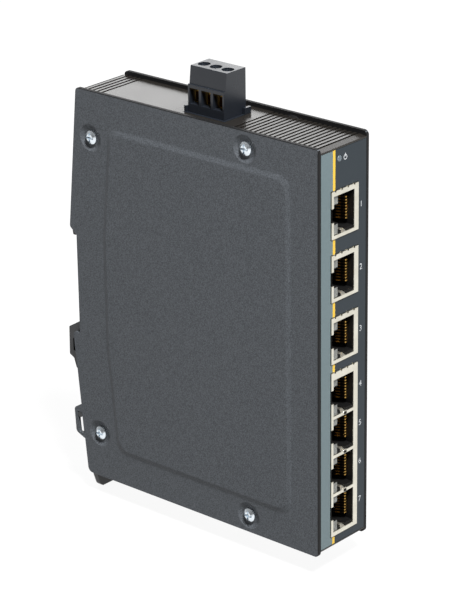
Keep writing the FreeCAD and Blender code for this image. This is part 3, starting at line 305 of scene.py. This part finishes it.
def gold_contact():
    """Gold on bronze: bright in front, and painted shade in brown behind, which makes the socket look
    deep.
    """
    material, tree, shader = new_finish("gold_plated_bronze", "e2b061", 0.28, 1.0)
    place = add_node(tree, "ShaderNodeTexCoord")
    axes = add_node(tree, "ShaderNodeSeparateXYZ", Vector=place.outputs["Object"])
    along = spread(tree, axes.outputs["X"], 0.0, 1.0, From_Min=0.0, From_Max=BEND_X * MM)
    painted_shading = add_node(tree, "ShaderNodeValToRGB", Fac=along)
    stops = painted_shading.color_ramp.elements
    stops[0].color = stops[1].color = hex_colour(SOCKET_SHADE_BROWN)
    stops[1].position = 0.48
    for position, colour in ALONG_CONTACT:
        stops.new(position).color = hex_colour(colour)
    rough = spread(tree, along, 0.5, 0.25)
    tree.links.new(painted_shading.outputs["Color"], shader.inputs["Base Color"])
    tree.links.new(rough, shader.inputs["Roughness"])
    return material


gold = gold_contact()
print("made", gold.name, "brightest beyond", BEND_X, "mm")

# %% [markdown]
# ## Moulded plastics
# Sockets, clip and plug are black glass-filled nylon. The mould gives it a fine satin grain. Light
# windows are clear acrylic that looks milky because of its moulded, diffusing ends.

# %% Nylon, acrylic, resist
MOULD_GRAIN = 0.3          # mm
MOULD_RELIEF = 0.02        # mm
FLOW = 9                   # mm, size of the duller patches where the melt flowed
HAZE = 1.6                 # mm, size of the clouds in the acrylic
GLOW_DEPTH = 0.8           # mm that light gets into the acrylic
TRACK = 2.2                # mm, from track to track under the resist
TRACK_RELIEF = 0.04        # mm


def moulded_nylon(name, colour, roughness, gloss=0.5):
    """Glass-filled nylon: satin black with a fine mould grain."""
    material, tree, shader = new_finish(name, colour, roughness)
    shader.inputs["Specular IOR Level"].default_value = gloss
    place = add_node(tree, "ShaderNodeTexCoord")
    spark = noise(tree, place, MOULD_GRAIN, 2.0)
    flow = noise(tree, place, FLOW, 2.0)
    rough = spread(tree, flow, roughness - 0.07, roughness + 0.07)
    bump = add_node(tree, "ShaderNodeBump", Height=spark, Strength=0.2, Distance=MOULD_RELIEF * MM)
    tree.links.new(rough, shader.inputs["Roughness"])
    tree.links.new(bump.outputs["Normal"], shader.inputs["Normal"])
    return material


def milky_acrylic(name, dark, pale):
    """Light guide: clear acrylic whose frosted end scatters light, so it looks milky."""
    material, tree, shader = new_finish(name, pale, 0.3)
    shader.inputs["Subsurface Weight"].default_value = 0.25
    shader.inputs["Subsurface Radius"].default_value = (GLOW_DEPTH * MM,) * 3
    place = add_node(tree, "ShaderNodeTexCoord")
    haze = noise(tree, place, HAZE, 2.0)
    tint = mix(tree, haze, hex_colour(dark), hex_colour(pale))
    tree.links.new(tint, shader.inputs["Base Color"])
    return material


def solder_resist():
    """Green resist on the board, with the copper's tracks just showing as a raised grid."""
    material, tree, shader = new_finish("green_solder_resist", "12402a", 0.3)
    place = add_node(tree, "ShaderNodeTexCoord")
    tracks = add_node(tree, "ShaderNodeTexVoronoi", {"feature": "DISTANCE_TO_EDGE"},
                      Vector=place.outputs["Object"], Scale=grain(TRACK))
    lines = spread(tree, tracks.outputs["Distance"], 0.0, 1.0, From_Max=0.08)
    tint = mix(tree, lines, hex_colour("2a6a44"), hex_colour("12402a"))
    bump = add_node(tree, "ShaderNodeBump", Height=lines, Strength=0.3, Distance=TRACK_RELIEF * MM)
    tree.links.new(tint, shader.inputs["Base Color"])
    tree.links.new(bump.outputs["Normal"], shader.inputs["Normal"])
    return material


# The sockets' nylon is near-black and darker than the clip's. Part of that is the nylon's own black,
# and part is painted shade inside the sockets.
socket_nylon = moulded_nylon("black_socket_nylon", "030303", 0.6, 0.15)
clip_nylon = moulded_nylon("black_clip_nylon", "1a1b1d", 0.45)
plug_nylon = moulded_nylon("black_plug_nylon", "12151a", 0.28)
chip_epoxy = moulded_nylon("moulded_epoxy", "1b1c1e", 0.5)
acrylic = milky_acrylic("milky_acrylic", "3c3d3a", "70716e")
lamp_acrylic = milky_acrylic("smoky_acrylic", "343c41", "535c62")
resist = solder_resist()
print("made", [m.name for m in (socket_nylon, clip_nylon, plug_nylon, chip_epoxy)])
print("made", [m.name for m in (acrylic, lamp_acrylic, resist)])

# %% [markdown]
# ## The printed foil
# The strip down the front is a polyester foil, printed from behind: grey-green with a yellow line along
# its inner edge. The print is a matter of place, so the colour switches on the Object coordinates' X.
# Nothing else is printed on it.

# %% Printed foil
YELLOW_FROM = -5.5         # mm, left edge of the yellow line
FOIL_GRAIN = 0.8           # mm


def printed_foil():
    """Matt polyester with a fine grain under the print and a yellow line along one edge."""
    material, tree, shader = new_finish("printed_polyester_foil", "465355", 0.38)
    place = add_node(tree, "ShaderNodeTexCoord")
    axes = add_node(tree, "ShaderNodeSeparateXYZ", Vector=place.outputs["Object"])
    yellow = compute(tree, "GREATER_THAN", axes.outputs["X"], YELLOW_FROM * MM)
    speckle = noise(tree, place, FOIL_GRAIN, 3.0)
    ground = mix(tree, speckle, hex_colour("435053"), hex_colour("4c5a5d"))
    printed = mix(tree, yellow, ground, hex_colour("b08f20"))
    tree.links.new(printed, shader.inputs["Base Color"])
    return material


foil = printed_foil()
print("made", foil.name)

# %% [markdown]
# ## Dressing the CAD nodes
# The imported nodes keep their shapes, and only their material slots change. Their edges come from the
# CAD as real fillets, so there is nothing to bevel here. A node takes the first finish whose name it
# starts with.

# %% Assign the finishes
FINISHES = {
    "side_cover": cover_coat,
    "cover_screws": zinc,
    "board_screws": zinc,
    "housing_frame": frame_coat,
    "front_plate": plate_coat,
    "front_foil": foil,
    "port_shield": nickel,
    "gang_shield": nickel,
    "port_insert": socket_nylon,
    "gang_insert": socket_nylon,
    "port_contacts": gold,
    "port_lenses": acrylic,
    "light_pipe": lamp_acrylic,
    "status_led": acrylic,
    "main_board": resist,
    "switch_chip": chip_epoxy,
    "magnetics": chip_epoxy,
    "power_inductor": chip_epoxy,
    "supply_capacitors": aluminium,
    "heat_sink": aluminium,
    "clock_crystal": zinc,
    "power_header": plug_nylon,
    "header_pins": zinc,
    "plug_body": plug_nylon,
    "plug_contacts": brass,
    "terminal_screw": zinc,
    "terminal_cage": brass,
    "rail_clip": clip_nylon,
    "clip_spring": zinc,
}

for name, node in nodes.items():
    finish = next(f for key, f in FINISHES.items() if name.startswith(key))
    node.data.materials.clear()
    node.data.materials.append(finish)
print("dressed", len(nodes), "nodes with", len(set(FINISHES.values())), "finishes")

# %% [markdown]
# ## New pieces
# A new piece is made where it belongs, and then its place is applied, so that the object itself sits at
# the origin like every other. It rides on the body that carries it and takes its finish.

# %% Piece helpers
def deselect_all():
    """Clears the selection, so that an operator touches only what it should."""
    bpy.ops.object.select_all(action="DESELECT")


def settle(piece, body, finish, slot):
    """Applies a new piece's place, gives it its finish and lets it ride on a body."""
    deselect_all()
    piece.select_set(True)
    bpy.context.view_layer.objects.active = piece
    bpy.ops.object.transform_apply(location=True, rotation=True, scale=True)
    piece.data.materials.clear()
    piece.data.materials.append(finish)
    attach(piece, body)


print("piece helpers:", deselect_all.__name__, settle.__name__)

# %% [markdown]
# ## The clip's spring
# The CAD spring can't shorten, and a new one stands for it: a round wire's outline, carried round and
# up by a screw modifier. It stays on the switch.

# %% Return spring
WIRE = 0.45                # mm
WIRE_SIDES = 10
COILS = 7
STEPS_PER_COIL = 28
seat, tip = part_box("clip_spring")


def return_spring():
    """A compression spring between the heights of the CAD's, with capped wire ends."""
    radius = (tip[0] - seat[0]) / 2 - WIRE / 2 * MM
    rise = tip[2] - seat[2] - WIRE * MM
    deselect_all()
    bpy.ops.mesh.primitive_circle_add(vertices=WIRE_SIDES, radius=WIRE / 2 * MM,
                                      location=(radius, 0, 0), rotation=(math.pi / 2, 0, 0))
    spring = bpy.context.object
    bpy.ops.object.transform_apply(location=True, rotation=True, scale=True)
    bpy.ops.object.modifier_add(type="SCREW")
    screw = spring.modifiers[-1]
    screw.steps = screw.render_steps = STEPS_PER_COIL
    screw.iterations = COILS
    screw.screw_offset = rise / COILS
    screw.use_normal_calculate = True
    bpy.ops.object.modifier_apply(modifier=screw.name)
    bpy.ops.object.mode_set(mode="EDIT")
    bpy.ops.mesh.select_all(action="SELECT")
    bpy.ops.mesh.fill_holes(sides=0)
    bpy.ops.mesh.select_all(action="SELECT")
    bpy.ops.mesh.normals_make_consistent(inside=False)
    bpy.ops.object.mode_set(mode="OBJECT")
    bpy.ops.object.shade_smooth()
    spring.location = ((seat[0] + tip[0]) / 2, (seat[1] + tip[1]) / 2, seat[2] + WIRE / 2 * MM)
    spring.name = "return_spring"
    return spring


spring = return_spring()
settle(spring, "switch", zinc, "zinc_steel")
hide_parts("clip_spring")
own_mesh(spring)
print("spring faces:", len(spring.data.polygons), "length:", round((tip[2] - seat[2]) / MM, 2), "mm")

# %% [markdown]
# ## Nubs on the block's dividers
# Each divider of the block of four has a small pressed nub about halfway along. It is a cube with
# rounded edges that starts at the shield's own face, so it doesn't stand out of the CAD box.

# %% Nubs
NUB_X, NUB_WIDE, NUB_TALL, NUB_DEEP = 0.8, 2.0, 1.5, 0.6      # mm
NUB_ROUND = 0.28           # mm, radius of the nub's edges
DIVIDER_RISE = 6.42        # mm, from the middle of a socket's contacts to the divider above it
SHARP = math.radians(35)   # edges that turn more than this stay sharp
PORT_HEIGHTS = [sum(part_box(f"port_contacts_{i}")[k][2] for k in (0, 1)) / 2 / MM
                for i in range(1, 8)]
shield_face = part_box("gang_shield")[0][1] / MM


def nub(height):
    """A rounded block on the shield's face, with its middle at a height in millimetres."""
    deselect_all()
    bpy.ops.mesh.primitive_cube_add(
        size=1, scale=(NUB_WIDE * MM, NUB_DEEP * MM, NUB_TALL * MM),
        location=(NUB_X * MM, (shield_face + NUB_DEEP / 2) * MM, height * MM))
    piece = bpy.context.object
    bpy.ops.object.transform_apply(location=True, rotation=True, scale=True)
    bpy.ops.object.modifier_add(type="BEVEL")
    piece.modifiers[-1].width = NUB_ROUND * MM
    piece.modifiers[-1].segments = 4
    bpy.ops.object.modifier_apply(modifier=piece.modifiers[-1].name)
    bpy.ops.object.shade_smooth_by_angle(angle=SHARP)
    return piece


for lower in (5, 6, 7):
    divider_nub = nub(PORT_HEIGHTS[lower - 1] + DIVIDER_RISE)
    divider_nub.name = f"divider_nub_{lower}"
    settle(divider_nub, "switch", nickel, "shield_nickel")
print("nub faces:", len(divider_nub.data.polygons), "shield face at", round(shield_face, 2), "mm")

# %% [markdown]
# ## White numerals and the power symbol
# Each socket has a white number beside it. A numeral is a text object, given a hair of thickness and
# turned into a mesh.

# %% White ink
FRONT_Y = -106.7           # mm, the front plate's face
INK_THICK = 0.02           # mm
INK_GRAIN = 0.4            # mm, size of the spots where the pad left less ink
CAPITAL_SHARE = 0.7        # a figure's height as a share of the font's size
NUMERAL_X = 8.9            # mm, column of the numerals
NUMERAL_TALL = 2.0         # mm


def white_ink():
    """Pad-printed white ink: matt, a little uneven where the pad left less of it."""
    material, tree, shader = new_finish("white_pad_print", "d9dbdc", 0.6)
    place = add_node(tree, "ShaderNodeTexCoord")
    pad = noise(tree, place, INK_GRAIN, 2.0)
    tint = mix(tree, pad, hex_colour("7f8183"), hex_colour("a4a6a8"))
    tree.links.new(tint, shader.inputs["Base Color"])
    return material


def front_text(word, x, z, height):
    """A word of ink on the front plate, with its middle at x, z (mm), reading upright."""
    deselect_all()
    bpy.ops.object.text_add(location=(x * MM, (FRONT_Y - INK_THICK / 2) * MM, z * MM),
                            rotation=(math.pi / 2, 0, 0))
    piece = bpy.context.object
    piece.data.body = word
    piece.data.align_x = "CENTER"
    piece.data.align_y = "CENTER"
    piece.data.size = height * MM / CAPITAL_SHARE
    piece.data.extrude = INK_THICK / 2 * MM
    bpy.ops.object.convert(target="MESH")
    return bpy.context.object


ink = white_ink()
for number, height in enumerate(PORT_HEIGHTS, 1):
    numeral = front_text(str(number), NUMERAL_X, height, NUMERAL_TALL)
    numeral.name = f"numeral_{number}"
    settle(numeral, "switch", ink, "legend_foil")
print("numerals at", [round(h, 1) for h in PORT_HEIGHTS])

# %% [markdown]
# The power symbol is a ring with a bar. The ring starts as a flat circle, inset to leave its rim, and
# the bar is a thin block laid over its upper edge.

# %% Power symbol
SYMBOL_X, SYMBOL_Z = 0.74, 65.2                     # mm, middle of the ring
RING_RADIUS, RING_RIM, RING_SIDES = 0.9, 0.28, 40   # mm, mm
BAR_WIDE, BAR_TALL, BAR_RISE = 0.3, 1.2, 0.75       # mm, the last from the ring's middle to the bar's


def power_symbol():
    """A ring of ink with an upright bar, joined into one piece."""
    deselect_all()
    bpy.ops.mesh.primitive_circle_add(vertices=RING_SIDES, radius=RING_RADIUS * MM, fill_type="NGON",
                                      location=(SYMBOL_X * MM, FRONT_Y * MM, SYMBOL_Z * MM),
                                      rotation=(math.pi / 2, 0, 0))
    ring = bpy.context.object
    bpy.ops.object.mode_set(mode="EDIT")
    bpy.ops.mesh.select_all(action="SELECT")
    bpy.ops.mesh.inset(thickness=RING_RIM * MM)
    bpy.ops.mesh.delete(type="FACE")
    bpy.ops.mesh.select_all(action="SELECT")
    bpy.ops.mesh.extrude_region_move(
        TRANSFORM_OT_translate={"value": (0, -INK_THICK * MM, 0)})
    bpy.ops.mesh.select_all(action="SELECT")
    bpy.ops.mesh.normals_make_consistent(inside=False)
    bpy.ops.object.mode_set(mode="OBJECT")
    bpy.ops.mesh.primitive_cube_add(
        size=1, scale=(BAR_WIDE * MM, INK_THICK * 2 * MM, BAR_TALL * MM),
        location=(SYMBOL_X * MM, (FRONT_Y - INK_THICK / 2) * MM, (SYMBOL_Z + BAR_RISE) * MM))
    bar = bpy.context.object
    ring.select_set(True)
    bar.select_set(True)
    bpy.context.view_layer.objects.active = ring
    bpy.ops.object.join()
    return ring


symbol = power_symbol()
symbol.name = "power_symbol"
settle(symbol, "switch", ink, "legend_foil")
print("power symbol faces:", len(symbol.data.polygons))

# %% [markdown]
# ## Floor, light and camera
# The floor is a large sheet of opal acrylic that glows, so it is white everywhere and takes only faint
# shadows.

# %% Floor
FLOOR_GAP = 0.1            # mm, between the floor and the lowest point of the model
FLOOR_SIZE = 12            # m
FIBRE, FIBRE_RELIEF = 2.0, 0.05      # mm
FLOOR_GLOW = 0.93
FLOOR_Z = cad_low[2] - FLOOR_GAP * MM


def pale_floor():
    """Opal acrylic lit from below: white everywhere, so shadows on it stay faint."""
    material, tree, shader = new_finish("opal_acrylic", "2e2e2e", 0.9)
    shader.inputs["Emission Color"].default_value = hex_colour("ffffff")
    shader.inputs["Emission Strength"].default_value = FLOOR_GLOW
    place = add_node(tree, "ShaderNodeTexCoord")
    fibre = noise(tree, place, FIBRE, 2.0)
    bump = add_node(tree, "ShaderNodeBump", Height=fibre, Strength=0.05, Distance=FIBRE_RELIEF * MM)
    tree.links.new(bump.outputs["Normal"], shader.inputs["Normal"])
    deselect_all()
    bpy.ops.mesh.primitive_plane_add(size=FLOOR_SIZE, location=(0, 0, FLOOR_Z))
    floor = bpy.context.object
    floor.name = "light_table"
    bpy.ops.object.transform_apply(location=True, rotation=True, scale=True)
    floor.data.materials.append(material)
    return floor


pale_floor()
print("floor at", round(FLOOR_Z / MM, 1), "mm")

# %% [markdown]
# Three soft lamps light the switch: a small strong one above the front, a broad weak one overhead, and
# a low one behind that skims the far side.

# %% Lights
MIDDLE = (0, -0.05, 0)               # m, the middle of the switch
UPPER_MIDDLE = (0, -0.05, 0.07)      # m, its top
LAMPS = (                            # name, place, target and size in metres, then watts
    ("key_softbox", (-0.36, -0.7, 1.24), MIDDLE, (0.3, 0.3), 80),
    ("top_softbox", (0.3, 0.2, 1.5), MIDDLE, (1.2, 1.2), 6),
    ("rim_softbox", (1.05, 0.86, 0.44), UPPER_MIDDLE, (1.0, 0.45), 3.2),
)


def soft_lamp(name, place, target, size, power):
    """A rectangular area lamp that faces its target."""
    data = bpy.data.lights.new(name, "AREA")
    data.shape = "RECTANGLE"
    data.size, data.size_y = size
    data.energy = power
    lamp = bpy.data.objects.new(name, data)
    lamp.location = place
    lamp.rotation_euler = (Vector(target) - Vector(place)).to_track_quat("-Z", "Y").to_euler()
    bpy.context.scene.collection.objects.link(lamp)
    return lamp


print("lamps:", [soft_lamp(*row).name for row in LAMPS])

# %% [markdown]
# Around them is a grey room whose walls grow paler towards one upper corner. The smooth coats mirror
# it, so each face of the switch gets its own shade.

# %% Room
PALE_CORNER = (0.62, 0.62, 0.48)     # the way to the palest part of the room
AWAY, TOWARDS = -0.4, 0.9            # how far a view points there, from -1 to 1
DIM, BRIGHT = 0.1, 0.6               # strength of the room's light at those two

world = bpy.data.worlds.new("pale_room")
world.use_nodes = True
room = world.node_tree
around = add_node(room, "ShaderNodeTexCoord")
side = add_node(room, "ShaderNodeVectorMath", {"operation": "DOT_PRODUCT"},
                i0=around.outputs["Generated"], i1=PALE_CORNER)
wall = spread(room, side.outputs["Value"], DIM, BRIGHT, From_Min=AWAY, From_Max=TOWARDS)
room.links.new(wall, room.nodes["Background"].inputs["Strength"])
room.nodes["Background"].inputs["Color"].default_value = hex_colour("ffffff")
bpy.context.scene.world = world
bpy.context.scene.view_settings.view_transform = "Standard"
print("room:", world.name, "from", DIM, "to", BRIGHT)

# %% [markdown]
# The camera stands high on the left and in front, with a long lens, so that upright edges stay nearly
# parallel. Its three axes are written out: to its right, down, and ahead.

# %% Camera
RIGHT = Vector((0.6537015, -0.7566602, -0.0118216))
DOWN = Vector((-0.2893648, -0.2354956, -0.9277984))
AHEAD = Vector((0.6992441, 0.6099239, -0.3728947))
CAMERA_PLACE = (-0.62764, -0.60772, 0.33978)     # m
LENS, SENSOR = 161.56, 36.0                      # mm
CLOSEST = 0.01                                   # m

camera_data = bpy.data.cameras.new("catalogue_camera")
camera_data.lens = LENS
camera_data.sensor_width = SENSOR
camera_data.clip_start = CLOSEST
camera = bpy.data.objects.new("catalogue_camera", camera_data)
turn = Matrix((RIGHT, -DOWN, -AHEAD)).transposed().to_4x4()
camera.matrix_world = Matrix.Translation(CAMERA_PLACE) @ turn
bpy.context.scene.collection.objects.link(camera)
bpy.context.scene.camera = camera
print("camera distance:", round((Vector(CAMERA_PLACE) - Vector(MIDDLE)).length, 3), "m")
